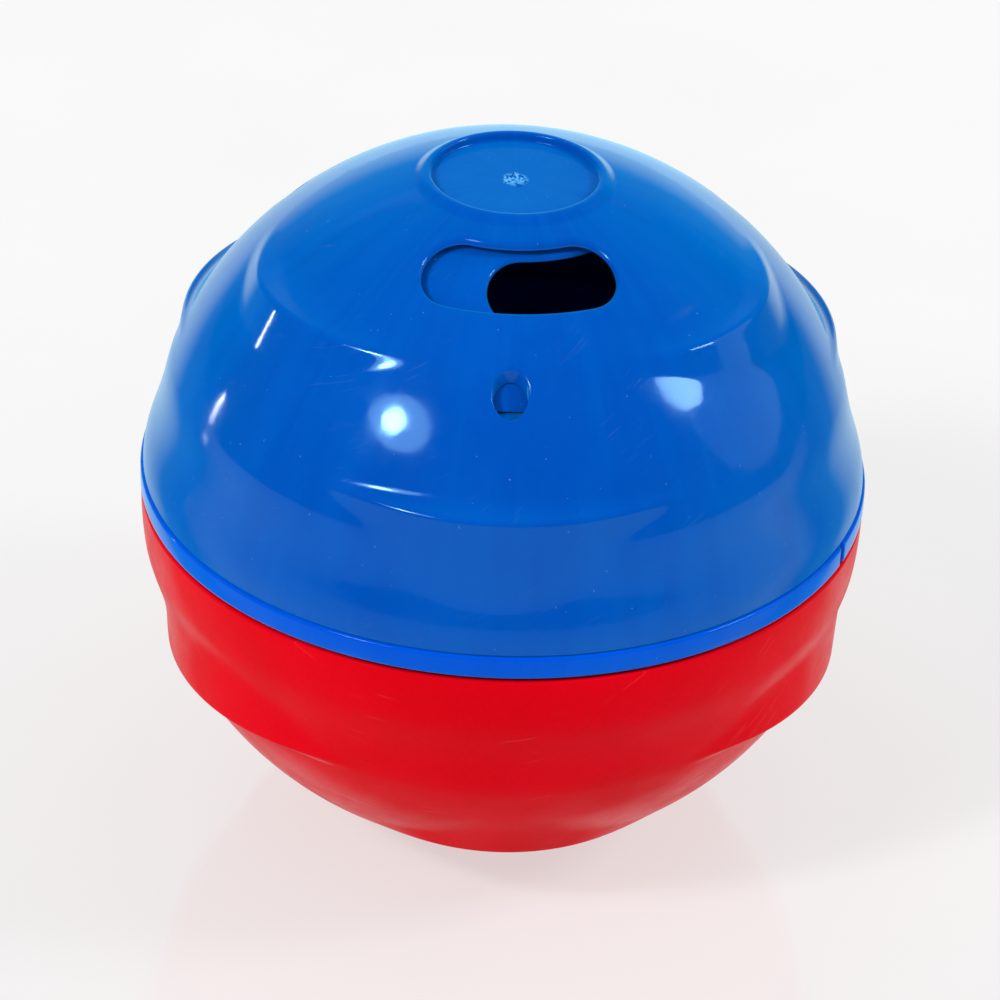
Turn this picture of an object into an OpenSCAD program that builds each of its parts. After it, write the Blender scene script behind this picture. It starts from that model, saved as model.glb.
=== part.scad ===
/* [Ball] */
// Radius of the sphere that both halves are sculpted from
ball_r = 51; // [49:0.5:58]
// Thickness of the moulded walls
wall = 1.6; // [1.4:0.1:1.8]
// Radius of the flat disc at each pole
pole_r = 11.5; // [10:0.5:12.5]
// Rise of a pole's rim over the sphere
pole_rise = 0.7; // [0.5:0.1:1.2]
// Width of the raised lip round the upper disc
lip_w = 1.2; // [0.8:0.1:1.6]
// Depth of the upper disc below its lip
recess_depth = 1.2; // [0.8:0.1:1.6]
// Height of the parting line over the middle of the ball
parting_z = 1.5; // [0:0.5:2]
// Bevel along the shelf edges
bevel = 0.6; // [0.4:0.1:1]
// Distance of a high shelf's own centre from the ball's axis, as a share of the radius
high_offset_share = 0.25; // [0.22:0.005:0.26]
// Lean of the wall below a high shelf, in degrees
high_lean = 27.5; // [25:0.5:30]

/* [Cove] */
// Latitude of the ring-shaped cove, in degrees
cove_lat = 15.5; // [14:0.5:17]
// Width of the cove across its two edges
cove_w = 11; // [9:0.5:12]
// Depth of the cove below the sphere
cove_depth = 0.6; // [0.5:0.05:0.8]

/* [Upper shelves] */
// Latitude at which the three low shelves of the upper half leave the sphere, in degrees
upper_low_lat = 27.5; // [26:0.5:29]
// Width of a low shelf at its middle
upper_low_w = 2.4; // [1.8:0.1:2.6]
// Distance of a low shelf's own centre from the ball's axis, as a share of the radius
upper_low_offset_share = 0.27; // [0.24:0.005:0.3]
// Lean of the wall below a low shelf, in degrees
upper_low_lean = 7; // [6:0.5:8]
// Fall of the top of a low shelf towards its edge, in degrees
upper_low_fall = 15; // [12:1:17]
// Turn of the low shelves from the slot, in degrees
upper_low_turn = -3.5; // [-8:0.5:4]
// Latitude at which the three high shelves of the upper half leave the sphere, in degrees
upper_high_lat = 49.1; // [47:0.1:50]
// Width of a high shelf at its middle
upper_high_w = 3; // [2.4:0.1:3.2]
// Fall of the top of a high shelf towards its edge, in degrees
upper_high_fall = 10; // [8:1:12]

/* [Lower shelves] */
// Latitude of the three low shelves of the lower half, in degrees under the middle
lower_low_lat = 22.5; // [21:0.1:24]
// Width of such a shelf at its middle
lower_low_w = 2.2; // [1.8:0.1:2.6]
// Distance of such a shelf's own centre from the ball's axis, as a share of the radius
lower_low_offset_share = 0.29; // [0.26:0.005:0.32]
// Lean of the wall of such a shelf, in degrees
lower_low_lean = 3; // [2:0.5:6]
// Latitude of the three deep shelves of the lower half, in degrees under the middle
lower_high_lat = 46; // [44:0.5:48]
// Width of such a shelf at its middle
lower_high_w = 2.5; // [1.8:0.1:2.8]
// Turn of the lower half when the thread is tight, in degrees
tight_turn = 62.5; // [0:0.5:120]

/* [Slot and shutter] */
// Latitude of the slot's centre line, in degrees
slot_lat = 64.7; // [63:0.1:66]
// Width of the slot
slot_w = 9.6; // [8:0.2:10.4]
// Turn between the centres of the slot's round ends, in degrees
slot_sweep = 44; // [36:1:50]
// Turn of the shutter from fully open, as photographed, in degrees
shutter_turn = 23.5; // [0:0.5:40]
// Clearance between the shutter and the shell round it
shutter_gap = 0.3; // [0.2:0.05:0.4]
// Thickness of the shutter
shutter_wall = 1.4; // [1.2:0.1:1.6]
// Latitude of the shutter's rim, in degrees
rim_lat = 43; // [41:0.5:44]

/* [Hooks] */
// Diameter of the mould window over each hook
window_d = 4.8; // [4.2:0.1:5]
// Latitude of the windows, in degrees
window_lat = 45.6; // [45:0.1:46]
// Turn of the hooks from the shelves, in degrees
hook_turn = -2; // [-6:1:6]
// Width of a hook
hook_w = 4.4; // [3.6:0.1:4.6]
// Height of a hook
hook_h = 2.2; // [1.6:0.1:2.6]
// Overlap of a hook under the shutter's rim
hook_bite = 1.3; // [1:0.1:1.6]

/* [Joint ring] */
// Reach of the ring's band past the sphere
band_proud = 0.1; // [0:0.1:0.6]
// Height of the ring's visible band
band_h = 3.3; // [2.6:0.1:4]
// Rounding of the band's two outer edges
band_round = 0.5; // [0.3:0.1:0.8]
// Open line between the band and the lower half
parting_gap = 0.5; // [0.3:0.1:0.7]
// Depth of that open line
gap_depth = 1.2; // [0.8:0.1:1.4]
// Distance of the screw socket's wall inside the sphere
socket_depth = 3.6; // [3.4:0.1:4]
// Room for the threads between neck and socket
thread_room = 1.2; // [1:0.1:1.4]
// Length of the neck below the band
neck_h = 10.5; // [9:0.5:12]
// Distance of the collar that enters the upper half inside the sphere
collar_depth = 3.4; // [3.2:0.1:4]
// Height of that collar over the band
collar_h = 3.4; // [2.6:0.1:4]
// Clearance round the collar
collar_gap = 0.3; // [0.2:0.05:0.4]
// Width of the notch in the band
notch_w = 1.2; // [0.8:0.1:2]

/* [Hidden] */
$fn = 96;

// Overrun of every cut past the face that it opens
over = 1;
// Three of everything stand round the axis
count = 3;
step = 360 / count;
// Reach of a bevel along the top of a shelf, as a share of its height
bevel_share = 0.7;
// Radius of the flat middle of a shelf's top, as a share of the shelf's own radius
flat_share = 0.5;

// Heights over the middle of the ball
pole_z = sqrt(pow(ball_r, 2) - pow(pole_r + lip_w, 2)) + pole_rise;
disc_z = pole_z - recess_depth;
band_top = parting_z + band_h;
lower_rim = parting_z - parting_gap;

// Each shelf: height, reach of its edge, offset of its own centre, lean of its wall, fall of its top, turn
function shelf(lat, w, offset_share, lean, fall, turn) =
    [ball_r * sin(lat), ball_r * cos(lat) + w, ball_r * offset_share, lean, fall, turn];
upper_low =
    shelf(upper_low_lat, upper_low_w, upper_low_offset_share, upper_low_lean, upper_low_fall, upper_low_turn);
upper_high = shelf(upper_high_lat, upper_high_w, high_offset_share, high_lean, upper_high_fall, step / 2);
lower_low = shelf(lower_low_lat, lower_low_w, lower_low_offset_share, lower_low_lean, 0, 0);
lower_high = shelf(lower_high_lat, lower_high_w, high_offset_share, high_lean, 0, step / 2);

// The shutter, what holds it and the boss that it turns on
shutter_r = ball_r - wall - shutter_gap;
rim_z = shutter_r * sin(rim_lat);
hook_top = rim_z - shutter_gap;
slot_r = ball_r * cos(slot_lat);
slot_end_r = slot_w / 2;
window_r = ball_r * cos(window_lat);
boss_r = pole_r + lip_w / 2;
boss_low = sqrt(pow(shutter_r - shutter_wall, 2) - pow(boss_r, 2)) - shutter_gap;

// The joint ring and its seats
ring_r = ball_r + band_proud;
socket_r = ball_r - socket_depth;
collar_r = ball_r - collar_depth;
notch_turn = 64.5;

// Radius of the tube that grooves the cove, from its width and depth
half_w = cove_w / 2;
cove_low = ball_r * sin(cove_lat) - half_w;
sphere_sag = ball_r - sqrt(pow(ball_r, 2) - pow(half_w, 2));
chord_depth = cove_depth - sphere_sag;
tube_r = (pow(half_w, 2) + pow(chord_depth, 2)) / (2 * chord_depth);

// The groove of the cove; inset moves its face into the wall
module cove(inset) {
    reach = ball_r - cove_depth + tube_r;
    rotate_extrude()
        translate([reach * cos(cove_lat), reach * sin(cove_lat)])
            circle(tube_r + inset);
}

// One raised step: a leaning round wall off the axis, with a bevelled edge.
// Its top falls towards the edge from a flat middle that the sphere covers.
// Outside, the walls of the low shelves go down to the lower edge of the cove.
module step_body(shelf, inset) {
    z = shelf[0] - inset;
    lean = shelf[3];
    fall = shelf[4];
    top_r = shelf[1] - shelf[2] - inset;
    flat_r = top_r * flat_share;
    own_foot = z - shelf[1] * sin(lean) - wall;
    foot_z = inset == 0 && shelf[5] < step / 2 ? cove_low : own_foot;
    foot_r = top_r + (z - foot_z) * tan(lean);
    bevel_in = bevel * bevel_share;
    rotate([0, 0, shelf[5]])
        translate([shelf[2], 0, 0])
            rotate([0, 0, 180])
                rotate_extrude()
                    polygon([
                        [0, foot_z],
                        [foot_r, foot_z],
                        [top_r + bevel * tan(lean), z - bevel],
                        [top_r - bevel_in, z + bevel_in * tan(fall)],
                        [flat_r, z + (top_r - flat_r) * tan(fall)],
                        [0, z + (top_r - flat_r) * tan(fall)]
                    ]);
}

// The outside of one half, or with an inset the inside of its wall
module sculpted(shelves, inset) {
    rotate([0, 0, step / 4])
        difference() {
            sphere(ball_r - inset);
            cove(inset);
        }
    for (turn = [0:count - 1])
        rotate([0, 0, turn * step])
            for (shelf = shelves)
                step_body(shelf, inset);
}

// The outside of one half from its rim to the disc at its pole
module half_skin(shelves, rim) {
    intersection() {
        sculpted(shelves, 0);
        translate([0, 0, rim])
            cylinder(r = 2 * ball_r, h = pole_z - rim);
    }
    cylinder(r = pole_r + lip_w, h = pole_z);
}

// The curved slot, cut straight down
module slot_cut() {
    half = slot_sweep / 2;
    rotate([0, 0, -half])
        rotate_extrude(angle = slot_sweep)
            translate([slot_r - slot_end_r, 0])
                square([slot_w, ball_r + over]);
    for (side = [-1, 1])
        rotate([0, 0, side * half])
            translate([slot_r, 0, 0])
                cylinder(r = slot_end_r, h = ball_r + over);
}

// A ledge under the shutter's rim, grown from the shell
module hook() {
    inner = sqrt(pow(shutter_r, 2) - pow(rim_z, 2)) - hook_bite;
    intersection() {
        translate([inner, -hook_w / 2, hook_top - hook_h])
            cube([ball_r, hook_w, hook_h]);
        sphere(ball_r - wall / 2);
    }
}

module window_cut() {
    translate([window_r, 0, hook_top])
        cylinder(d = window_d, h = ball_r);
}

module upper_shell() {
    socket_top = band_top + collar_h + shutter_gap;
    color([0, 0.32, 0.71])
        difference() {
            union() {
                difference() {
                    half_skin([upper_low, upper_high], band_top);
                    difference() {
                        intersection() {
                            sculpted([upper_low], wall);
                            translate([0, 0, socket_top - over])
                                cylinder(r = collar_r + collar_gap, h = ball_r);
                        }
                        translate([0, 0, disc_z - wall])
                            cylinder(r = boss_r, h = ball_r);
                        difference() {
                            translate([0, 0, boss_low])
                                cylinder(r = boss_r, h = ball_r);
                            cylinder(r = boss_r - wall, h = ball_r);
                        }
                    }
                    cylinder(r = collar_r + collar_gap, h = socket_top);
                }
                for (turn = [0:count - 1])
                    rotate([0, 0, turn * step + hook_turn])
                        hook();
            }
            translate([0, 0, disc_z])
                cylinder(r = pole_r, h = ball_r);
            slot_cut();
            for (turn = [0:count - 1])
                rotate([0, 0, turn * step + hook_turn])
                    window_cut();
        }
}

module shutter() {
    color([0, 0.3, 0.66])
        difference() {
            intersection() {
                difference() {
                    sphere(shutter_r);
                    sphere(shutter_r - shutter_wall);
                }
                translate([0, 0, rim_z])
                    cylinder(r = ball_r, h = ball_r);
            }
            cylinder(r = boss_r + shutter_gap, h = ball_r);
            rotate([0, 0, shutter_turn])
                slot_cut();
        }
}

// A rectangle of a turned profile
module span(r_in, r_out, z_low, z_high) {
    translate([r_in, z_low])
        square([r_out - r_in, z_high - z_low]);
}

module joint_ring() {
    neck_r = socket_r - thread_room;
    bore_r = neck_r - wall;
    color([0.01, 0.34, 0.84])
        difference() {
            rotate_extrude() {
                span(bore_r, neck_r, parting_z - neck_h, band_top);
                span(bore_r, ball_r - gap_depth, lower_rim, band_top);
                span(bore_r, collar_r, parting_z, band_top + collar_h);
                span(bore_r, ring_r - band_round, parting_z, band_top);
                span(bore_r, ring_r, parting_z + band_round, band_top - band_round);
                for (z = [parting_z + band_round, band_top - band_round])
                    translate([ring_r - band_round, z])
                        circle(band_round);
            }
            rotate([0, 0, notch_turn])
                translate([ring_r - wall / 2, -notch_w / 2, parting_z - over])
                    cube([wall, notch_w, band_h + 2 * over]);
        }
}

module lower_shell() {
    socket_low = lower_rim - neck_h;
    color([0.84, 0.01, 0.07])
        rotate([0, 0, tight_turn])
            difference() {
                mirror([0, 0, 1])
                    half_skin([lower_low, lower_high], -lower_rim);
                mirror([0, 0, 1])
                    intersection() {
                        sculpted([lower_low, lower_high], wall);
                        translate([0, 0, -socket_low - over])
                            cylinder(r = socket_r, h = pole_z - wall + socket_low + over);
                    }
                translate([0, 0, socket_low])
                    cylinder(r = socket_r, h = neck_h + over);
            }
}

// The ball stands on its lower disc; its front, where the slot is, faces -Y
module placed() {
    translate([0, 0, pole_z])
        rotate([0, 0, -90])
            children();
}

placed() upper_shell();
placed() shutter();
placed() joint_ring();
placed() lower_shell();
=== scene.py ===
import math
from collections import namedtuple

import bpy
import numpy as np
from mathutils import Matrix, Vector
from mathutils.geometry import delaunay_2d_cdt


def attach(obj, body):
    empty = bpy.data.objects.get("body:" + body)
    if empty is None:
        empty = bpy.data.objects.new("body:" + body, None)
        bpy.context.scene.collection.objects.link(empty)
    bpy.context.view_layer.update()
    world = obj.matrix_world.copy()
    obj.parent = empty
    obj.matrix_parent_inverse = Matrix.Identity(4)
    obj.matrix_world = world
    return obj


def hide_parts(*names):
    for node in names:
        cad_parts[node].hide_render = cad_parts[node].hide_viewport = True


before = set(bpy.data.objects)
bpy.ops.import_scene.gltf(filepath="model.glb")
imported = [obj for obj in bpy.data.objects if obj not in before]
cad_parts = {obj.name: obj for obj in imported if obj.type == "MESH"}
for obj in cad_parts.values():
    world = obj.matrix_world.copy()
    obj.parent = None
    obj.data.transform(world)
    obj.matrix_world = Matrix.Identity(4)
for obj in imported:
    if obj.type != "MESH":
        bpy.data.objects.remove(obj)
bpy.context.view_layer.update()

# Sizes are in millimetres, and heights count from the middle of the ball.
# Azimuths are in degrees from the front, to the right.
MM = 0.001
THIRDS = (0, 120, 240)
TINY = 1e-6

# Ball
BALL_R = 51.0
WALL = 1.6
INNER_R = BALL_R - WALL

# Disc at each pole, lip round it, and boss under the upper one
POLE_R = 11.5
LIP_W = 1.2
LIP_R = POLE_R + LIP_W
POLE_RISE = 0.7
RECESS = 1.2
POLE_Z = math.sqrt(BALL_R**2 - LIP_R**2) + POLE_RISE
DISC_Z = POLE_Z - RECESS
LIP_ROUND = 0.4
DISC_FILLET = 0.3
BOSS_R = POLE_R + LIP_W / 2
BOSS_PAST_SHUTTER = 0.3

# Rings that mesh the disc: the outermost one and their spacing, then those of the gate mark
FLAT_R = 10.8
DISC_RINGS = 0.6
GATE_R = 2.5
GATE_INNER_R = 0.1
GATE_RINGS = 0.12

# Flare from the lower half's skin to its foot: distance from the axis and height over the skin's end
FOOT_FLARE = ((13.5, 0.12), (13.1, 0.36))

# Joint between the halves
BAND_LOW = 1.5
BAND_TOP = 4.8
BAND_ROUND = 0.5
SEAM = 0.4
LOWER_RIM = 1.0
RIM_ROUND = 0.4
RING_R = 51.1
SEAT_R = 49.8
NECK_R = 46.2
NECK_LOW = -9.0
NECK_BEVEL = 0.6
RING_BORE = 44.6
COLLAR_R = 47.6
COLLAR_TOP = 8.2
COLLAR_BEVEL = 0.4
COLLAR_BORE = 47.9
SOCKET_R = 47.4
SOCKET_DEPTH = 13.6
MOUTH_BEVEL = 0.3
NOTCH_TURN = 64.5
NOTCH_HALF = 0.6
NOTCH_DEPTH = 0.6
THREAD_SINK = 0.2
NECK_THREAD_RISE = 0.8
SOCKET_THREAD_RISE = 0.6
LEAD = 12.0

# Slot of the dome and of the shutter
SLOT_R = 21.8
SLOT_HALF = 4.8
SLOT_SWEEP = 44.0

# Shutter
SHUTTER_TURN = 23.5
SHUTTER_R = 49.1
SHUTTER_INNER = 47.7
SHUTTER_RIM = 33.5
SHUTTER_HOLE = 12.4
SHUTTER_EDGE = 0.2

# Hooks under the shutter's rim and the windows that they were moulded through
HOOK_TURN = -2.0
HOOK_W = 4.4
HOOK_INNER = 34.6
HOOK_FAR_LOW = 39.0
HOOK_FAR_TOP = 37.2
HOOK_TOP = 33.2
HOOK_LOW = 31.0
HOOK_BEVEL = 0.25
WINDOW_R = 35.7
WINDOW_HALF = 2.4

# Holes: margin of the mesh round them, rounding of their edges, and how far the wall is cut back below
SLOT_RIM = (1.6, 0.8, 1.35)
SHUTTER_SLOT_RIM = (1.3, 0.5, 1.25)
WINDOW_RIM = (0.9, 0.35, 0.0)
# What a hole takes out of a grid: half its width in azimuth, nearest and farthest distance from the axis
SLOT_PATCH = (46.0, 14.6, 29.0)
SHUTTER_SLOT_PATCH = (46.0, 14.6, 28.9)
WINDOW_PATCH = (10.0, 31.2, 40.4)

# A raised step: height of its top, reach of its edge, how far its own centre lies off the axis,
# lean of its wall, fall of its top, and turn
Shelf = namedtuple("Shelf", "height reach offset lean fall turn")


def shelf_size(lat, width, offset_share, lean, fall, turn):
    """A shelf whose edge stands out by width from the ball at a latitude."""
    lat = math.radians(lat)
    return Shelf(BALL_R * math.sin(lat), BALL_R * math.cos(lat) + width, BALL_R * offset_share, lean, fall, turn)


UPPER_SHELVES = [shelf_size(27.5, 2.4, 0.27, 7.0, 15.0, -3.5), shelf_size(49.1, 3.0, 0.25, 27.5, 10.0, 60.0)]
LOWER_SHELVES = [shelf_size(22.5, 2.2, 0.29, 3.0, 0.0, 0.0), shelf_size(46.0, 2.5, 0.25, 27.5, 0.0, 60.0)]
LOWER_TURN = 62.5

# Groove under the low shelves
COVE_Z = BALL_R * math.sin(math.radians(15.5))
COVE_W = 11.0
COVE_DEPTH = 0.6
COVE_BLEND = 0.5

# Rounding of a shelf's edge, fillet over it, blend of its wall into the ball, and where one gives way to the other
EDGE_ROUND = 0.5
CREASE_BLEND = 1.1
WALL_BLEND = 0.35
BLEND_START = 3.5
BLEND_END = 0.5

# Where the sculpted skin ends and the lip of the disc begins
SKIN_END = 13.9

# Bounds and number of halvings of the search for the sculpted surface
NEAREST = 44.0
FARTHEST = 58.0
HALVINGS = 28

# Grid of the sculpted skin: its size, the rough grid that places its rows, the length that counts as much as
# a bend of 1 / BEND_PULL radians, and how far round a bend pulls rows closer
SKIN_COLUMNS = 720
SKIN_ROWS = 124
ROUGH_STEP = 2.0
ROUGH_ROWS = 640
ROW_LENGTH = 0.95
BEND_PULL = 11
SPREAD = range(-6, 7)
SPREAD_WIDTH = 2.2
FILL_SPACING = 0.75


# Form of the shells

def smooth_min(a, b, k):
    h = np.clip(0.5 + 0.5 * (b - a) / k, 0.0, 1.0)
    return b + (a - b) * h - k * h * (1.0 - h)


def ease(low, high, x):
    t = np.clip((x - low) / (high - low), 0.0, 1.0)
    return t * t * (3.0 - 2.0 * t)


def base_distance(rho, z):
    """Signed distance to the ball with its cove, in a half-plane through the axis."""
    half = COVE_W / 2
    chord = COVE_DEPTH - (BALL_R - math.sqrt(BALL_R**2 - half**2))
    tube = (half**2 + chord**2) / (2 * chord)
    lat = math.asin(COVE_Z / BALL_R)
    reach = BALL_R - COVE_DEPTH + tube
    groove = tube - np.hypot(rho - reach * math.cos(lat), z - reach * math.sin(lat))
    return -smooth_min(BALL_R - np.hypot(rho, z), -groove, COVE_BLEND)


def shelf_distance(x, y, z, shelf, turn):
    """Signed distance to one raised step with a rounded edge."""
    a, lean, fall = math.radians(turn), math.radians(shelf.lean), math.radians(shelf.fall)
    foot = math.sin(lean) * (shelf.height * math.sin(lean) + shelf.reach * math.cos(lean))
    across = np.hypot(x - shelf.offset * math.cos(a), y - shelf.offset * math.sin(a))
    past_edge = across - (shelf.reach - shelf.offset)
    wall = (past_edge - (shelf.height - z) * math.tan(lean)) * math.cos(lean) + EDGE_ROUND
    top = (z - shelf.height) * math.cos(fall) + past_edge * math.sin(fall) + EDGE_ROUND
    corner = np.hypot(np.maximum(wall, 0.0), np.maximum(top, 0.0))
    body = np.where((wall > 0) | (top > 0), corner, np.maximum(wall, top)) - EDGE_ROUND
    return np.maximum(body, foot - z)


def form_distance(x, y, z, shelves, turn):
    """Signed distance to a sculpted half; x is towards azimuth 0 and y towards azimuth 90."""
    out = base_distance(np.hypot(x, y), z)
    for shelf in shelves:
        share = ease(shelf.height - BLEND_START, shelf.height - BLEND_END, z)
        blend = WALL_BLEND + (CREASE_BLEND - WALL_BLEND) * share
        for third in THIRDS:
            out = smooth_min(out, shelf_distance(x, y, z, shelf, turn + shelf.turn + third), blend)
    return out


def skin_reach(az, lat, shelves, turn):
    """How far the sculpted surface lies from the middle of the ball in each direction, given in radians."""
    cx, cy, cz = np.cos(az) * np.cos(lat), np.sin(az) * np.cos(lat), np.sin(lat)
    low, high = np.full(cx.shape, NEAREST), np.full(cx.shape, FARTHEST)
    for _ in range(HALVINGS):
        mid = (low + high) / 2
        outside = form_distance(cx * mid, cy * mid, cz * mid, shelves, turn) > 0
        high, low = np.where(outside, mid, high), np.where(outside, low, mid)
    return (low + high) / 2


def sculpted_grid(shelves, turn, lowest):
    """Points of a sculpted half from the lowest height up, in rows that lie closer where the surface bends."""
    rough_az = np.arange(0, 360, ROUGH_STEP)
    lat_low = math.degrees(math.asin(lowest / BALL_R))
    lat_high = math.degrees(math.acos(SKIN_END / BALL_R))
    lats = np.linspace(lat_low, lat_high, ROUGH_ROWS)
    az_grid, lat_grid = np.meshgrid(np.radians(rough_az), np.radians(lats), indexing="ij")
    r = skin_reach(az_grid, lat_grid, shelves, turn)
    rho, z = r * np.cos(lat_grid), r * np.sin(lat_grid)
    step_rho, step_z = np.diff(rho, axis=1), np.diff(z, axis=1)
    bend = np.abs(np.diff(np.unwrap(np.arctan2(step_z, step_rho), axis=1), axis=1))
    effort = np.hypot(step_rho, step_z) / ROW_LENGTH
    effort[:, 1:] += bend * BEND_PULL
    near = np.exp(-0.5 * (np.array(SPREAD) / SPREAD_WIDTH) ** 2)
    effort = sum(w * np.roll(effort, s, axis=0) for w, s in zip(near / near.sum(), SPREAD))
    total = np.concatenate([np.zeros((len(rough_az), 1)), np.cumsum(effort, axis=1)], axis=1)
    wanted = np.linspace(0, 1, SKIN_ROWS)
    rough = np.array([np.interp(wanted * t[-1], t, lats) for t in total])
    wrapped = np.concatenate([rough, rough[:1]])
    az = np.arange(SKIN_COLUMNS) * 360.0 / SKIN_COLUMNS
    place = az / ROUGH_STEP
    left = place.astype(int)
    share = (place - left)[:, None]
    lat = np.radians((1 - share) * wrapped[left] + share * wrapped[left + 1]).T
    az = np.broadcast_to(np.radians(az), lat.shape)
    r = skin_reach(az, lat, shelves, turn)
    return np.stack([r * np.cos(az) * np.cos(lat), r * np.sin(az) * np.cos(lat), r * np.sin(lat)], axis=-1)


# Mesh building

class Skin:
    """The points and faces of one piece, in millimetres round the middle of the ball."""

    def __init__(self):
        self.points = np.zeros((0, 3))
        self.faces = []

    def add(self, points):
        points = np.asarray(points, float).reshape(-1, 3)
        first = len(self.points)
        self.points = np.concatenate([self.points, points])
        return np.arange(first, len(self.points))

    def join(self, lower, upper):
        """A strip between two closed loops."""
        quads = np.stack([lower, np.roll(lower, -1), np.roll(upper, -1), upper], axis=-1)
        self.faces.extend(quads.tolist())

    def cap(self, loop):
        self.faces.append([int(i) for i in loop])

    def revolve(self, profile, columns=180, warp=None):
        """A surface of revolution: up the outside, in over the top and down the inside faces outwards."""
        az = np.arange(columns) * 2 * math.pi / columns
        last = None
        for rho, z in profile:
            if rho == 0:
                ring = self.add([[0, 0, z]])
            else:
                ring = np.stack([rho * np.cos(az), rho * np.sin(az), np.full(columns, float(z))], axis=-1)
                ring = self.add(ring if warp is None else warp(ring))
            if last is not None and len(ring) == len(last):
                self.join(last, ring)
            elif last is not None:
                rim, tip = (last, ring) if len(ring) == 1 else (ring, last)
                ends = np.roll(rim, -1)
                pairs = zip(rim, ends) if len(ring) == 1 else zip(ends, rim)
                self.faces.extend([int(a), int(b), int(tip[0])] for a, b in pairs)
            last = ring

    def sheet(self, points, gaps=()):
        """Joins a grid of points that closes round the axis.

        A gap is the azimuth of its middle, half its width in azimuth, its nearest and farthest distance
        from the axis, and the loop of the hole that it is filled round.
        """
        rows, columns = points.shape[:2]
        ids = self.add(points).reshape(rows, columns)
        rho = np.hypot(points[..., 0], points[..., 1])
        az = np.degrees(np.arctan2(points[0, :, 1], points[0, :, 0]))
        upward = rho[0, 0] > rho[-1, 0]
        shown = np.ones((rows - 1, columns), bool)
        for middle, half, near, far, loop in gaps:
            off = (az - middle + 180) % 360 - 180
            across = np.flatnonzero(np.abs(off) <= half + TINY)
            across = across[np.argsort(off[across])]
            wide = np.flatnonzero(rho[:, across].min(axis=1) >= far)
            narrow = np.flatnonzero(rho[:, across].max(axis=1) <= near)
            start, end = (wide[-1], narrow[0]) if upward else (narrow[-1], wide[0])
            shown[start:end, across[:-1]] = False
            border = np.concatenate([
                ids[start, across],
                ids[start + 1:end, across[-1]],
                ids[end, across[::-1]],
                ids[start + 1:end, across[0]][::-1],
            ])
            self.fill(border, loop, upward)
        low, high = ids[:-1], ids[1:]
        quads = np.stack([low, np.roll(low, -1, 1), np.roll(high, -1, 1), high], axis=-1)
        self.faces.extend(quads[shown].tolist())

    def fill(self, border, loop, upward):
        """Triangles between a border and a hole's loop, on the sphere that holds them."""
        edge, hole = self.points[border], self.points[loop]
        radius = np.linalg.norm(edge[0])
        low, high = edge[:, :2].min(axis=0), edge[:, :2].max(axis=0)
        xs = np.arange(low[0], high[0], FILL_SPACING)
        ys = np.arange(low[1], high[1], FILL_SPACING * math.sqrt(3) / 2)
        shift = (np.arange(len(ys)) % 2) * FILL_SPACING / 2
        free = np.stack([xs[None, :] + shift[:, None], np.broadcast_to(ys[:, None], (len(ys), len(xs)))], axis=-1)
        free = free.reshape(-1, 2)
        free = free[inside(free, edge[:, :2]) & ~inside(free, hole[:, :2])]
        rim = np.concatenate([edge, hole])[:, :2]
        gap = np.sqrt(((free[:, None] - rim[None]) ** 2).sum(-1)).min(axis=1)
        free = free[gap > FILL_SPACING / 2]
        height = np.sqrt(radius**2 - (free**2).sum(axis=1))
        ids = np.concatenate([border, loop, self.add(np.column_stack([free, height]))])
        flat = self.points[ids][:, :2]
        count, holes = len(border), len(loop)
        edges = [(i, (i + 1) % count) for i in range(count)]
        edges += [(count + i, count + (i + 1) % holes) for i in range(holes)]
        out = delaunay_2d_cdt([Vector(p) for p in flat], edges, [], 0, TINY)
        source = np.array([ids[olds[0]] for olds in out[3]])
        faces = np.array(out[2])
        where = np.array([list(p) for p in out[0]])[faces]
        middle = where.mean(axis=1)
        keep = inside(middle, edge[:, :2]) & ~inside(middle, hole[:, :2])
        side, other = where[:, 1] - where[:, 0], where[:, 2] - where[:, 0]
        left = side[:, 0] * other[:, 1] - side[:, 1] * other[:, 0] > 0
        faces[left != upward] = faces[left != upward][:, ::-1]
        self.faces.extend(source[faces[keep]].tolist())

    def hole(self, outline, rim, top_r, bottom_r):
        """The rounded edge and the wall of a hole; gives its outermost loop and its lowest one."""
        margin, edge, under = rim
        falls = np.linspace(0, math.pi / 2, 9)
        steps = [margin, (margin + edge) / 2] + [edge * (1 - math.sin(f)) for f in falls]
        drops = [0, 0] + [edge * (1 - math.cos(f)) for f in falls]
        loops = []
        for out, drop in zip(steps, drops):
            flat = outline(out)
            z = np.sqrt(top_r**2 - (flat**2).sum(axis=1)) - drop
            loops.append(self.add(np.column_stack([flat, z])))
        bottom = np.sqrt(bottom_r**2 - (outline(under) ** 2).sum(axis=1))
        z = self.points[loops[-1]][:, 2]
        upright = 0.1
        for share in (upright, (upright + 1) / 2, 1.0):
            flat = outline(under * (share - upright) / (1 - upright))
            loops.append(self.add(np.column_stack([flat, z + (bottom - z) * share])))
        for upper, lower in zip(loops, loops[1:]):
            self.join(upper, lower)
        return loops[0], loops[-1]

    def piece(self, name, turn=0.0, sharp=40, flip=False):
        """Makes the Blender object, turned about the ball's axis and set in the row frame."""
        a = math.radians(turn)
        x = self.points[:, 0] * math.cos(a) - self.points[:, 1] * math.sin(a)
        y = self.points[:, 0] * math.sin(a) + self.points[:, 1] * math.cos(a)
        z = -self.points[:, 2] if flip else self.points[:, 2]
        faces = [f[::-1] for f in self.faces] if flip else self.faces
        mesh = bpy.data.meshes.new(name)
        mesh.from_pydata((np.column_stack([y, -x, z + POLE_Z]) * MM).tolist(), [], faces)
        mesh.validate()
        mesh.shade_smooth()
        mesh.set_sharp_from_angle(angle=math.radians(sharp))
        return place_object(name, mesh)


def place_object(name, data):
    obj = bpy.data.objects.new(name, data)
    bpy.context.scene.collection.objects.link(obj)
    return obj


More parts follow.
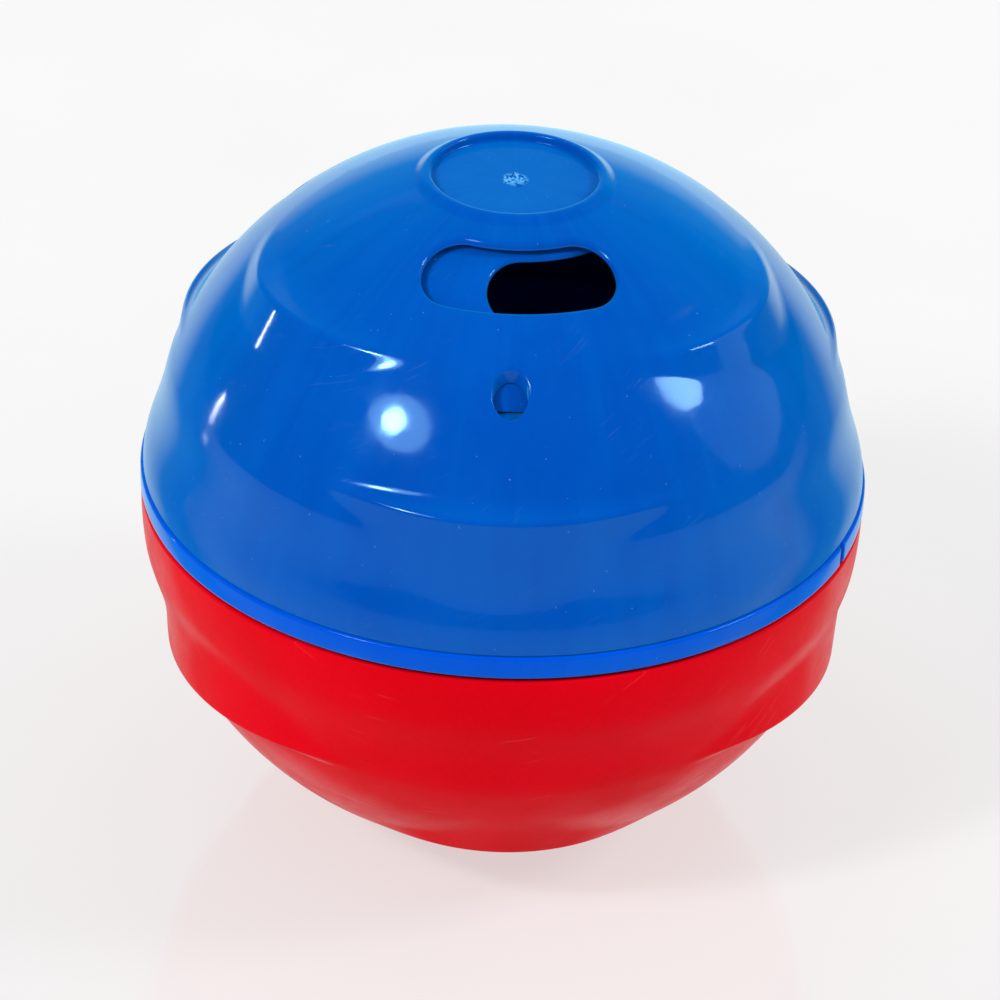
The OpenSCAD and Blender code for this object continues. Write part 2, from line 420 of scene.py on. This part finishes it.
def inside(points, loop):
    """Which points lie inside a closed loop, seen from above."""
    x, y = points[:, 0][:, None], points[:, 1][:, None]
    ax, ay = loop[:, 0], loop[:, 1]
    bx, by = np.roll(ax, -1), np.roll(ay, -1)
    crosses = (ay > y) != (by > y)
    with np.errstate(divide="ignore", invalid="ignore"):
        at = ax + (y - ay) * (bx - ax) / (by - ay)
    return (crosses & (x < at)).sum(axis=1) % 2 == 1


def slot_outline(out):
    """The slot seen from above, widened by out on every side."""
    half = math.radians(SLOT_SWEEP / 2)
    sweep = np.linspace(-half, half, 60)[:-1]
    turn = np.linspace(0, math.pi, 40)[:-1]
    sides = []
    for reach, angles in ((SLOT_R + SLOT_HALF + out, sweep), (SLOT_R - SLOT_HALF - out, -sweep)):
        sides.append(np.column_stack([reach * np.cos(angles), reach * np.sin(angles)]))
    ends = []
    for at, start in ((half, half), (-half, -half + math.pi)):
        centre = SLOT_R * np.array([math.cos(at), math.sin(at)])
        ends.append(centre + (SLOT_HALF + out) * np.column_stack([np.cos(start + turn), np.sin(start + turn)]))
    return np.concatenate([sides[0], ends[0], sides[1], ends[1]])


def window_outline(turn):
    """Gives the outline of the window at an azimuth, seen from above."""
    def outline(out):
        t = np.linspace(0, 2 * math.pi, 72, endpoint=False)
        a = math.radians(turn)
        x = WINDOW_R * math.cos(a) + (WINDOW_HALF + out) * np.cos(t)
        return np.column_stack([x, WINDOW_R * math.sin(a) + (WINDOW_HALF + out) * np.sin(t)])
    return outline


def arc(centre, radius, start, end, count=7):
    """Points of a profile's round, angles in degrees from outwards to upwards."""
    angles = np.radians(np.linspace(start, end, count))
    return [(centre[0] + radius * math.cos(a), centre[1] + radius * math.sin(a)) for a in angles]


def sphere_z(radius, rho):
    return math.sqrt(radius**2 - rho**2)


def sphere_rows(radius, rhos, columns):
    """A grid on a sphere at the given distances from the axis."""
    az = np.arange(columns) * 2 * math.pi / columns
    rhos = np.asarray(rhos, float)[:, None]
    z = np.broadcast_to(np.sqrt(radius**2 - rhos**2), (len(rhos), columns))
    return np.stack([rhos * np.cos(az), rhos * np.sin(az), z], axis=-1)


# The pieces

def lip_profile():
    """From the dome over the swell of the lip, down into the disc and in to its middle."""
    foot_z = sphere_z(BALL_R, SKIN_END)
    swell_end = LIP_R - LIP_W / 2
    start_slope = 0.5
    profile = []
    for t in np.linspace(0, 1, 16):
        climb = start_slope * t * (1 - t) ** 2 + t * t * (3 - 2 * t)
        profile.append((SKIN_END + (swell_end - SKIN_END) * t, foot_z + (POLE_Z - foot_z) * climb))
    profile += arc((POLE_R + LIP_ROUND, POLE_Z - LIP_ROUND), LIP_ROUND, 90, 180, 8)
    profile += arc((POLE_R - DISC_FILLET, DISC_Z + DISC_FILLET), DISC_FILLET, 0, -90, 5)
    profile += [(rho, DISC_Z) for rho in np.arange(FLAT_R, GATE_R + DISC_RINGS / 2, -DISC_RINGS)]
    profile += [(rho, DISC_Z) for rho in np.arange(GATE_R, GATE_INNER_R, -GATE_RINGS)]
    return profile + [(0, DISC_Z)]


def gate_mark(ring):
    """Roughens the stub that the mould's gate left in the middle of the disc."""
    height, crown_r, crown_w, grit_r = 0.4, 1.2, 0.45, 0.6
    rho = np.hypot(ring[:, 0], ring[:, 1])
    az = np.arctan2(ring[:, 1], ring[:, 0])
    crown = np.exp(-(((rho - crown_r) / crown_w) ** 2))
    crown *= (0.6 + 0.4 * np.sin(2 * az + 1)) * (1 + 0.5 * np.sin(7 * az + 3 * rho))
    grit = 0.35 * np.exp(-((rho / grit_r) ** 2)) * np.sin(5 * az + 4 * rho)
    ring[:, 2] += np.where(ring[:, 2] <= DISC_Z + TINY, height * (crown + grit), 0)
    return ring


def make_upper_shell():
    skin = Skin()
    slot_top, slot_low = skin.hole(slot_outline, SLOT_RIM, BALL_R, INNER_R)
    outer_gaps = [(0.0, *SLOT_PATCH, slot_top)]
    inner_gaps = [(0.0, *SLOT_PATCH, slot_low)]
    for third in THIRDS:
        turn = HOOK_TURN + third
        top, low = skin.hole(window_outline(turn), WINDOW_RIM, BALL_R, INNER_R)
        outer_gaps.append((turn, *WINDOW_PATCH, top))
        inner_gaps.append((turn, *WINDOW_PATCH, low))

    # Outside: sculpted skin, rounded seam over the band, lip and disc
    seam_z = BAND_TOP + SEAM
    grid = sculpted_grid(UPPER_SHELVES, 0.0, seam_z)
    skin.sheet(grid, outer_gaps)
    seam_r = float(np.hypot(*grid[0, 0, :2])) - SEAM
    skin.revolve([(seam_r, BAND_TOP)] + arc((seam_r, seam_z), SEAM, -75, 0, 6), SKIN_COLUMNS)
    skin.revolve(lip_profile(), 240, gate_mark)

    # Inside: wall, boss that the shutter turns round, and bore for the ring's collar
    rows = np.concatenate([np.arange(BOSS_R, COLLAR_BORE, 1.1), [COLLAR_BORE]])
    skin.sheet(sphere_rows(INNER_R, rows, 180), inner_gaps)
    ceiling = DISC_Z - WALL
    boss_low = sphere_z(SHUTTER_INNER, BOSS_R) - BOSS_PAST_SHUTTER
    skin.revolve([
        (0, ceiling),
        (BOSS_R - WALL, ceiling),
        (BOSS_R - WALL, boss_low),
        (BOSS_R, boss_low),
        (BOSS_R, sphere_z(INNER_R, BOSS_R)),
    ])
    skin.revolve([
        (COLLAR_BORE, sphere_z(INNER_R, COLLAR_BORE)),
        (COLLAR_BORE, BAND_TOP + MOUTH_BEVEL),
        (COLLAR_BORE + MOUTH_BEVEL, BAND_TOP),
        (sphere_z(BALL_R, seam_z) - SEAM, BAND_TOP),
    ])
    shell = skin.piece("upper_shell_skin")
    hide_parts("upper_shell")
    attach(shell, "dome")
    return [shell] + [make_hook(number) for number in (1, 2, 3)]


def make_hook(number):
    """A ledge under the shutter's rim, moulded with the dome through its window."""
    a = math.radians(HOOK_TURN + THIRDS[number - 1])
    skin = Skin()
    loops = []
    for z, far, inset in (
        (HOOK_LOW, HOOK_FAR_LOW, HOOK_BEVEL),
        (HOOK_LOW + HOOK_BEVEL, HOOK_FAR_LOW, 0),
        (HOOK_TOP - HOOK_BEVEL, HOOK_FAR_TOP, 0),
        (HOOK_TOP, HOOK_FAR_TOP, HOOK_BEVEL),
    ):
        side = HOOK_W / 2 - inset
        near = HOOK_INNER + inset
        half = [(far, side), (near + HOOK_BEVEL, side), (near, side - HOOK_BEVEL)]
        corners = [(far, -side)] + half + [(near, HOOK_BEVEL - side), (near + HOOK_BEVEL, -side)]
        loops.append(skin.add([
            [x * math.cos(a) - y * math.sin(a), x * math.sin(a) + y * math.cos(a), z] for x, y in corners
        ]))
    for low, high in zip(loops, loops[1:]):
        skin.join(low, high)
    skin.cap(loops[-1])
    skin.cap(loops[0][::-1])
    hook = skin.piece(f"hook_{number}", sharp=50)
    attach(hook, "dome")
    return hook


def make_shutter():
    skin = Skin()
    top, low = skin.hole(slot_outline, SHUTTER_SLOT_RIM, SHUTTER_R, SHUTTER_INNER)
    rim_out = sphere_z(SHUTTER_R, SHUTTER_RIM)
    rim_in = sphere_z(SHUTTER_INNER, SHUTTER_RIM)
    corner = 0.1
    bore_top = SHUTTER_HOLE + SHUTTER_EDGE
    outer_rows = np.linspace(rim_out - corner, bore_top, 60)
    inner_rows = np.linspace(SHUTTER_HOLE, rim_in, 40)
    skin.sheet(sphere_rows(SHUTTER_R, outer_rows, 360), [(0.0, *SHUTTER_SLOT_PATCH, top)])
    skin.revolve([
        (bore_top, sphere_z(SHUTTER_R, bore_top)),
        (SHUTTER_HOLE, sphere_z(SHUTTER_R, bore_top) - SHUTTER_EDGE),
        (SHUTTER_HOLE, sphere_z(SHUTTER_INNER, SHUTTER_HOLE)),
    ], 360)
    skin.sheet(sphere_rows(SHUTTER_INNER, inner_rows, 180), [(0.0, *SHUTTER_SLOT_PATCH, low)])
    skin.revolve([
        (rim_in, SHUTTER_RIM),
        (rim_out - SHUTTER_EDGE, SHUTTER_RIM),
        (rim_out, SHUTTER_RIM + corner),
        (rim_out - corner, sphere_z(SHUTTER_R, rim_out - corner)),
    ], 360)
    shutter = skin.piece("shutter_skin", SHUTTER_TURN)
    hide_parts("shutter")
    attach(shutter, "slot_shutter")
    return [shutter]


def notch(points):
    """Presses the notch into the band."""
    turn = math.radians(NOTCH_TURN)
    rho = np.hypot(points[:, 0], points[:, 1])
    az = np.arctan2(points[:, 1], points[:, 0])
    off = np.abs((az - turn + math.pi) % (2 * math.pi) - math.pi) * rho
    depth = np.maximum(rho - (BALL_R - NOTCH_DEPTH), 0)
    cut = depth * (1 - ease(NOTCH_HALF - 0.25, NOTCH_HALF + 0.15, off))
    points[:, :2] *= ((rho - cut) / rho)[:, None]
    return points


def make_ring():
    skin = Skin()
    band_r = RING_R - BAND_ROUND
    profile = [(NECK_R - NECK_BEVEL, NECK_LOW), (NECK_R, NECK_LOW + NECK_BEVEL), (NECK_R, LOWER_RIM)]
    profile += [(SEAT_R, LOWER_RIM), (SEAT_R, BAND_LOW), (band_r, BAND_LOW)]
    profile += arc((band_r, BAND_LOW + BAND_ROUND), BAND_ROUND, -75, 0)
    profile += arc((band_r, BAND_TOP - BAND_ROUND), BAND_ROUND, 0, 90)
    profile += [(COLLAR_R, BAND_TOP), (COLLAR_R, COLLAR_TOP - COLLAR_BEVEL), (COLLAR_R - COLLAR_BEVEL, COLLAR_TOP)]
    profile += [(RING_BORE, COLLAR_TOP), (RING_BORE, NECK_LOW), (NECK_R - NECK_BEVEL, NECK_LOW)]
    skin.revolve(profile, 1440, notch)
    ring = skin.piece("joint_ring_skin", sharp=30)
    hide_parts("joint_ring")
    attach(ring, "ring")
    return [ring]


def make_threads(name, root, crest, low_z, start_az, sweep, width):
    """Three starts of a trapezoid thread ridge from root to crest; each climbs LEAD millimetres a turn."""
    skin = Skin()
    count, run_out, crest_share = 90, 12, 0.45
    half = width / 2
    for third in THIRDS:
        rings = []
        for share in np.linspace(0, 1, count + 1):
            az = math.radians(start_az + third + sweep * share)
            z = low_z + LEAD * sweep / 360 * share
            tip = root + (crest - root) * min(1.0, share * run_out, (1 - share) * run_out)
            section = [(root, z - half), (tip, z - half * crest_share), (tip, z + half * crest_share), (root, z + half)]
            if crest > root:
                section.reverse()
            rings.append(skin.add([[rho * math.cos(az), rho * math.sin(az), h] for rho, h in section]))
        for a, b in zip(rings, rings[1:]):
            skin.join(a, b)
        skin.cap(rings[0][::-1])
        skin.cap(rings[-1])
    return skin.piece(name, sharp=30)


def make_lower_shell():
    """The lower half, built upside down and mirrored."""
    skin = Skin()
    rim = -LOWER_RIM
    grid = sculpted_grid(LOWER_SHELVES, LOWER_TURN, rim + RIM_ROUND)
    skin.sheet(grid)
    rim_r = float(np.hypot(*grid[0, 0, :2])) - RIM_ROUND
    skin.revolve(arc((rim_r, rim + RIM_ROUND), RIM_ROUND, -90, 0, 7), SKIN_COLUMNS)

    # Foot
    foot_z = sphere_z(BALL_R, SKIN_END)
    profile = [(SKIN_END, foot_z)] + [(rho, foot_z + rise) for rho, rise in FOOT_FLARE]
    profile += arc((LIP_R - LIP_ROUND, POLE_Z - LIP_ROUND), LIP_ROUND, 10, 90, 7)
    profile += [(rho, POLE_Z) for rho in np.arange(11.0, 0.5, -1.0)] + [(0, POLE_Z)]
    skin.revolve(profile, 240)

    # Inside: flat floor, bowl and socket
    floor_z = POLE_Z - WALL
    floor_lat = math.degrees(math.asin(floor_z / INNER_R))
    profile = [(0, floor_z), (sphere_z(INNER_R, floor_z), floor_z)]
    profile += arc((0, 0), INNER_R, floor_lat - 1, 17, 40)
    profile += [(SOCKET_R, SOCKET_DEPTH), (SOCKET_R, rim + MOUTH_BEVEL), (SOCKET_R + MOUTH_BEVEL, rim), (rim_r, rim)]
    skin.revolve(profile)
    shell = skin.piece("lower_shell_skin", flip=True)
    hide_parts("lower_shell")
    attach(shell, "lower_half")
    return [shell]


upper = make_upper_shell()
shutter = make_shutter()
ring = make_ring()
lower = make_lower_shell()
neck_threads = make_threads(
    "neck_threads",
    root=NECK_R - THREAD_SINK,
    crest=NECK_R + NECK_THREAD_RISE,
    low_z=-7.6,
    start_az=10,
    sweep=130,
    width=1.5,
)
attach(neck_threads, "dome")
socket_threads = make_threads(
    "socket_threads",
    root=SOCKET_R + THREAD_SINK,
    crest=SOCKET_R - SOCKET_THREAD_RISE,
    low_z=-8.4,
    start_az=-60,
    sweep=150,
    width=1.3,
)
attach(socket_threads, "lower_half")


# Materials

def add_node(tree, kind, inputs, **settings):
    """Adds a node; each input is a value or the output that it takes."""
    node = tree.nodes.new(kind)
    for key, value in settings.items():
        setattr(node, key, value)
    for key, value in inputs.items():
        if isinstance(value, bpy.types.NodeSocket):
            tree.links.new(value, node.inputs[key])
        else:
            node.inputs[key].default_value = value
    return node


class Finish:
    """A node material on the Principled shader; each method adds nodes and gives an output."""

    def __init__(self, name, roughness, ior, level, tint):
        self.material = bpy.data.materials.new(name)
        self.material.use_nodes = True
        self.tree = self.material.node_tree
        self.shader = self.tree.nodes["Principled BSDF"]
        self.set({
            "Roughness": roughness,
            "IOR": ior,
            "Specular IOR Level": level,
            "Specular Tint": (*tint, 1),
        })
        self.place = self.add("ShaderNodeTexCoord", {}, "Object")

    def set(self, values):
        """Sets the shader's own sockets."""
        for key, value in values.items():
            self.shader.inputs[key].default_value = value

    def add(self, kind, inputs, output=0, **settings):
        return add_node(self.tree, kind, inputs, **settings).outputs[output]

    def math(self, operation, *values):
        return self.add("ShaderNodeMath", dict(enumerate(values)), operation=operation)

    def stretched(self, turn, scale):
        """Object coordinates turned and stretched."""
        inputs = {"Vector": self.place, "Rotation": tuple(map(math.radians, turn)), "Scale": scale}
        return self.add("ShaderNodeMapping", inputs, vector_type="TEXTURE")

    def noise(self, size, place=None, detail=2.0, rough=0.5, bend=0.0):
        """Noise with features of about the given size in millimetres."""
        inputs = {
            "Vector": self.place if place is None else place,
            "Scale": 1 / (size * MM),
            "Detail": detail,
            "Roughness": rough,
            "Distortion": bend,
        }
        return self.add("ShaderNodeTexNoise", inputs)

    def span(self, value, low, high, to_low=0.0, to_high=1.0):
        inputs = {0: value, 1: low, 2: high, 3: to_low, 4: to_high}
        return self.add("ShaderNodeMapRange", inputs, interpolation_type="SMOOTHSTEP")

    def mix(self, share, first, second):
        ends = {"Factor": share}
        for key, value in ((6, first), (7, second)):
            ends[key] = value if isinstance(value, bpy.types.NodeSocket) else (*value, 1)
        return self.add("ShaderNodeMix", ends, 2, data_type="RGBA")

    def bump(self, height, depth, normal=None):
        """Bump whose height of 1 stands for depth millimetres."""
        inputs = {"Height": height, "Distance": depth * MM, "Strength": 1.0}
        if normal is not None:
            inputs["Normal"] = normal
        return self.add("ShaderNodeBump", inputs)

    def meridians(self, around, along):
        """Coordinates that draw a noise out along the lines that run from the gate down the ball."""
        split = add_node(self.tree, "ShaderNodeSeparateXYZ", {0: self.place})
        flat = self.add("ShaderNodeCombineXYZ", {0: split.outputs[0], 1: split.outputs[1]})
        unit = self.add("ShaderNodeVectorMath", {0: flat}, operation="NORMALIZE")
        ends = add_node(self.tree, "ShaderNodeSeparateXYZ", {0: unit})
        return self.add("ShaderNodeCombineXYZ", {
            0: self.math("MULTIPLY", ends.outputs[0], around),
            1: self.math("MULTIPLY", ends.outputs[1], around),
            2: self.math("MULTIPLY", split.outputs[2], along),
        })

    def scratches(self, turn, lengths, low, high):
        """Thin short scratches in one direction, in patches."""
        lines = self.noise(1.0, self.stretched(turn, lengths), detail=0.0)
        patches = self.noise(9.0, detail=1.0)
        return self.math("MULTIPLY", self.span(lines, low, high), self.span(patches, 0.5, 0.62))

    def edge_on(self, low, high, to_low=0.0, to_high=1.0):
        """Follows how far a surface turns away from the eye, from 0 face on to 1 edge on."""
        return self.span(self.add("ShaderNodeLayerWeight", {0: 0.5}, "Facing"), low, high, to_low, to_high)

    def near_axis(self, low, high):
        """1 within low millimetres of the ball's axis, 0 beyond high."""
        flat = self.add("ShaderNodeVectorMath", {0: self.place, 1: (1, 1, 0)}, operation="MULTIPLY")
        away = self.add("ShaderNodeVectorMath", {0: flat}, "Value", operation="LENGTH")
        return self.span(away, low * MM, high * MM, 1.0, 0.0)

    def wire(self, **outputs):
        for key, value in outputs.items():
            self.tree.links.new(value, self.shader.inputs[key.replace("_", " ")])
        return self.material


def blue_finish(name, light, dark, level):
    """Polished moulded plastic: flow marks from the gate, fine waves, hairline scratches and dust."""
    finish = Finish(name, 0.09, 1.33, level, (0.32, 0.7, 1.0))
    finish.set({"Sheen Weight": 0.65, "Sheen Roughness": 0.5, "Sheen Tint": (0.0, 0.55, 0.9, 1)})

    # Colour: flow marks and clouds, specks, scratches, dust, and the whitened stub of the gate
    flow = finish.noise(1000.0, finish.meridians(9.0, 22.0), detail=3.0, rough=0.6, bend=0.4)
    cloud = finish.noise(16.0, detail=3.0, rough=0.55)
    shade = finish.mix(finish.span(finish.math("ADD", flow, cloud), 0.78, 1.22), dark, light)
    shade = finish.mix(finish.span(finish.noise(1.1, detail=2.0), 0.35, 0.65, 0.0, 0.1), shade, light)
    lines = finish.math(
        "ADD",
        finish.scratches((12, 64, 20), (0.16, 5.0, 5.0), 0.755, 0.78),
        finish.scratches((70, -18, 55), (4.0, 0.16, 4.0), 0.76, 0.785),
    )
    pale = tuple(0.35 * (a + b) + 0.1 for a, b in zip(light, dark))
    shade = finish.mix(finish.math("MULTIPLY", lines, 0.05), shade, pale)
    dust = finish.span(finish.noise(0.45, detail=0.0), 0.86, 0.88)
    shade = finish.mix(finish.math("MULTIPLY", dust, 0.15), shade, (0.4, 0.55, 0.75))
    chips = finish.span(finish.noise(0.5, detail=2.0), 0.42, 0.55)
    chips = finish.math("MULTIPLY", chips, finish.near_axis(1.2, 2.1))
    shade = finish.mix(finish.math("MULTIPLY", chips, 0.8), shade, (0.12, 0.5, 0.85))

    # Gloss: rubbed patches, less mirror at middle angles and more towards the edge
    rough = finish.span(finish.noise(5.0, detail=4.0, rough=0.65), 0.3, 0.72, 0.06, 0.13)
    rough = finish.math("ADD", rough, finish.math("MULTIPLY", lines, 0.05))
    gloss = finish.math("ADD", finish.edge_on(0.36, 0.5, level, 0.02), finish.edge_on(0.62, 0.78, 0.0, 0.7))

    # Relief: sink waves, orange peel, scratches and dust
    normal = finish.bump(finish.noise(5.5, detail=1.0), 0.035)
    normal = finish.bump(finish.noise(1.3, detail=2.0, rough=0.6), 0.005, normal)
    normal = finish.bump(finish.math("ADD", lines, dust), 0.001, normal)
    return finish.wire(Base_Color=shade, Roughness=rough, Specular_IOR_Level=gloss, Normal=normal)


def red_finish(name, light, dark):
    """Satin moulded plastic with a fine eroded grain and rubbed patches."""
    finish = Finish(name, 0.4, 1.33, 0.5, (1.0, 0.35, 0.35))
    cloud = finish.noise(20.0, detail=3.0, rough=0.6)
    shade = finish.mix(finish.span(cloud, 0.35, 0.65), dark, light)
    speck = finish.noise(0.55, detail=1.0)
    shade = finish.mix(finish.span(speck, 0.3, 0.7, 0.0, 0.14), shade, (0.45, 0.0, 0.004))
    lines = finish.scratches((20, 40, 75), (0.35, 10.0, 10.0), 0.74, 0.78)
    shade = finish.mix(finish.math("MULTIPLY", lines, 0.12), shade, (0.86, 0.12, 0.12))
    rough = finish.span(finish.noise(8.0, detail=4.0, rough=0.65), 0.3, 0.7, 0.34, 0.48)
    rough = finish.math("SUBTRACT", rough, finish.math("MULTIPLY", lines, 0.1))
    gloss = finish.edge_on(0.62, 0.82, 0.08, 0.6)
    normal = finish.bump(finish.noise(0.45, detail=2.0, rough=0.6), 0.012)
    normal = finish.bump(finish.noise(6.0, detail=1.0), 0.03, normal)
    return finish.wire(Base_Color=shade, Roughness=rough, Specular_IOR_Level=gloss, Normal=normal)


blue = blue_finish("dome_plastic", light=(0.0, 0.07, 0.415), dark=(0.0, 0.058, 0.385), level=0.7)
shutter_blue = blue_finish("shutter_plastic", light=(0.0, 0.07, 0.42), dark=(0.0, 0.058, 0.38), level=0.6)
band = blue_finish("band_plastic", light=(0.0, 0.07, 0.6), dark=(0.0, 0.062, 0.56), level=0.25)
red = red_finish("red_plastic", light=(0.7, 0.0, 0.008), dark=(0.65, 0.0, 0.006))
for pieces, coat, slot in (
    (upper, blue, "dome_blue"),
    (shutter, shutter_blue, "shutter_blue"),
    (ring + [neck_threads], band, "band_blue"),
    (lower + [socket_threads], red, "shell_red"),
):
    for obj in pieces:
        obj.data.materials.append(coat)


# Camera, floor and light

# Camera as fitted to the photograph: it looks at the middle of the ball, apart from the pitch and the shift
CAMERA_LENS = 160.6
CAMERA_SHIFT = -0.0015
CAMERA_DISTANCE = 632.4 * MM
CAMERA_ELEVATION = math.radians(31.79)
CAMERA_TURN = math.radians(-3.0)
CAMERA_ROLL = math.radians(2.42)
CAMERA_PITCH = math.radians(-0.19)

# White board, most of it lit from within, so that it stays white round the ball and keeps a soft shadow
FLOOR_HALF = 4.0
FLOOR_LIGHT = (0.25, 0.25, 0.25)
FLOOR_DARK = (0.24, 0.24, 0.24)
FLOOR_GLOW = 0.57

# World: light all round, what mirrors show in front and behind, where one turns into the other, and background
EVEN_LIGHT = 0.66
MIRROR_FRONT = 0.02
MIRROR_BACK = 0.95
MIRROR_START = 0.72
MIRROR_FULL = 0.84
BACKGROUND = 0.94

# Lamps: name, azimuth and elevation, width and height in degrees, radiance
LAMP_DISTANCE = 1.3
LAMPS = (
    ("key_core", -50.5, 41.5, 7.5, 7.5, 90),
    ("key", -47.5, 42, 21, 16, 9),
    ("side", 79.5, 39.5, 14, 15, 22),
    ("side_screen", 95, 26, 40, 40, 0.8),
    ("strip", -112, 3, 1.5, 7, 60),
)


def make_camera():
    data = bpy.data.cameras.new("camera")
    data.sensor_width = 36.0
    data.lens = CAMERA_LENS
    data.shift_x = CAMERA_SHIFT
    data.clip_start = 0.01
    camera = place_object("camera", data)
    behind, above = CAMERA_DISTANCE * math.cos(CAMERA_ELEVATION), CAMERA_DISTANCE * math.sin(CAMERA_ELEVATION)
    place = Matrix.Rotation(CAMERA_TURN, 4, "Z") @ Matrix.Translation((0, -behind, above))
    look = Matrix.Rotation(math.pi / 2 - CAMERA_ELEVATION + CAMERA_PITCH, 4, "X") @ Matrix.Rotation(CAMERA_ROLL, 4, "Z")
    camera.matrix_world = Matrix.Translation((0, 0, POLE_Z * MM)) @ place @ look
    bpy.context.scene.camera = camera


def make_lamp(name, azimuth, elevation, width, height, radiance):
    """A soft round lamp at a direction from the ball."""
    data = bpy.data.lights.new(name, "AREA")
    data.shape = "ELLIPSE"
    data.size, data.size_y = (2 * LAMP_DISTANCE * math.tan(math.radians(a) / 2) for a in (width, height))
    area = data.size * data.size_y * math.pi / 4
    data.energy = radiance * math.pi * area
    az, el = math.radians(azimuth), math.radians(elevation)
    aim = Vector((math.sin(az) * math.cos(el), -math.cos(az) * math.cos(el), math.sin(el)))
    lamp = place_object(name, data)
    lamp.location = Vector((0, 0, POLE_Z * MM)) + aim * LAMP_DISTANCE
    lamp.rotation_euler = aim.to_track_quat("Z", "Y").to_euler()


def make_floor():
    """Glossy white board with a faint cloudiness."""
    finish = Finish("floor_board", 0.12, 1.6, 0.5, (1, 1, 1))
    finish.set({"Emission Color": (1, 1, 1, 1), "Emission Strength": FLOOR_GLOW})
    shade = finish.mix(finish.span(finish.noise(60.0, detail=3.0), 0.3, 0.7), FLOOR_DARK, FLOOR_LIGHT)
    rough = finish.span(finish.noise(40.0, detail=3.0), 0.3, 0.7, 0.1, 0.15)
    mesh = bpy.data.meshes.new("floor")
    corners = [(x * FLOOR_HALF, y * FLOOR_HALF, 0) for x, y in ((-1, -1), (1, -1), (1, 1), (-1, 1))]
    mesh.from_pydata(corners, [], [(0, 1, 2, 3)])
    mesh.materials.append(finish.wire(Base_Color=shade, Roughness=rough))
    floor = place_object("floor", mesh)


def make_world():
    """White studio: even light, a white background, and a darker front in the reflections."""
    world = bpy.data.worlds.new("world")
    world.use_nodes = True
    bpy.context.scene.world = world
    tree = world.node_tree
    back = tree.nodes["Background"]
    back.inputs["Color"].default_value = (1, 1, 1, 1)
    way = add_node(tree, "ShaderNodeTexCoord", {}).outputs["Generated"]
    split = add_node(tree, "ShaderNodeSeparateXYZ", {0: way})
    behind = add_node(tree, "ShaderNodeMapRange", {
        0: split.outputs[1], 1: MIRROR_START, 2: MIRROR_FULL, 3: MIRROR_FRONT, 4: MIRROR_BACK,
    })
    rays = add_node(tree, "ShaderNodeLightPath", {})
    glossy = add_node(tree, "ShaderNodeMix", {
        0: rays.outputs["Is Glossy Ray"], 2: EVEN_LIGHT, 3: behind.outputs[0],
    })
    strength = add_node(tree, "ShaderNodeMix", {
        0: rays.outputs["Is Camera Ray"], 2: glossy.outputs[0], 3: BACKGROUND,
    })
    tree.links.new(strength.outputs[0], back.inputs["Strength"])


make_camera()
for lamp in LAMPS:
    make_lamp(*lamp)
make_floor()
make_world()
bpy.context.scene.view_settings.view_transform = "Standard"
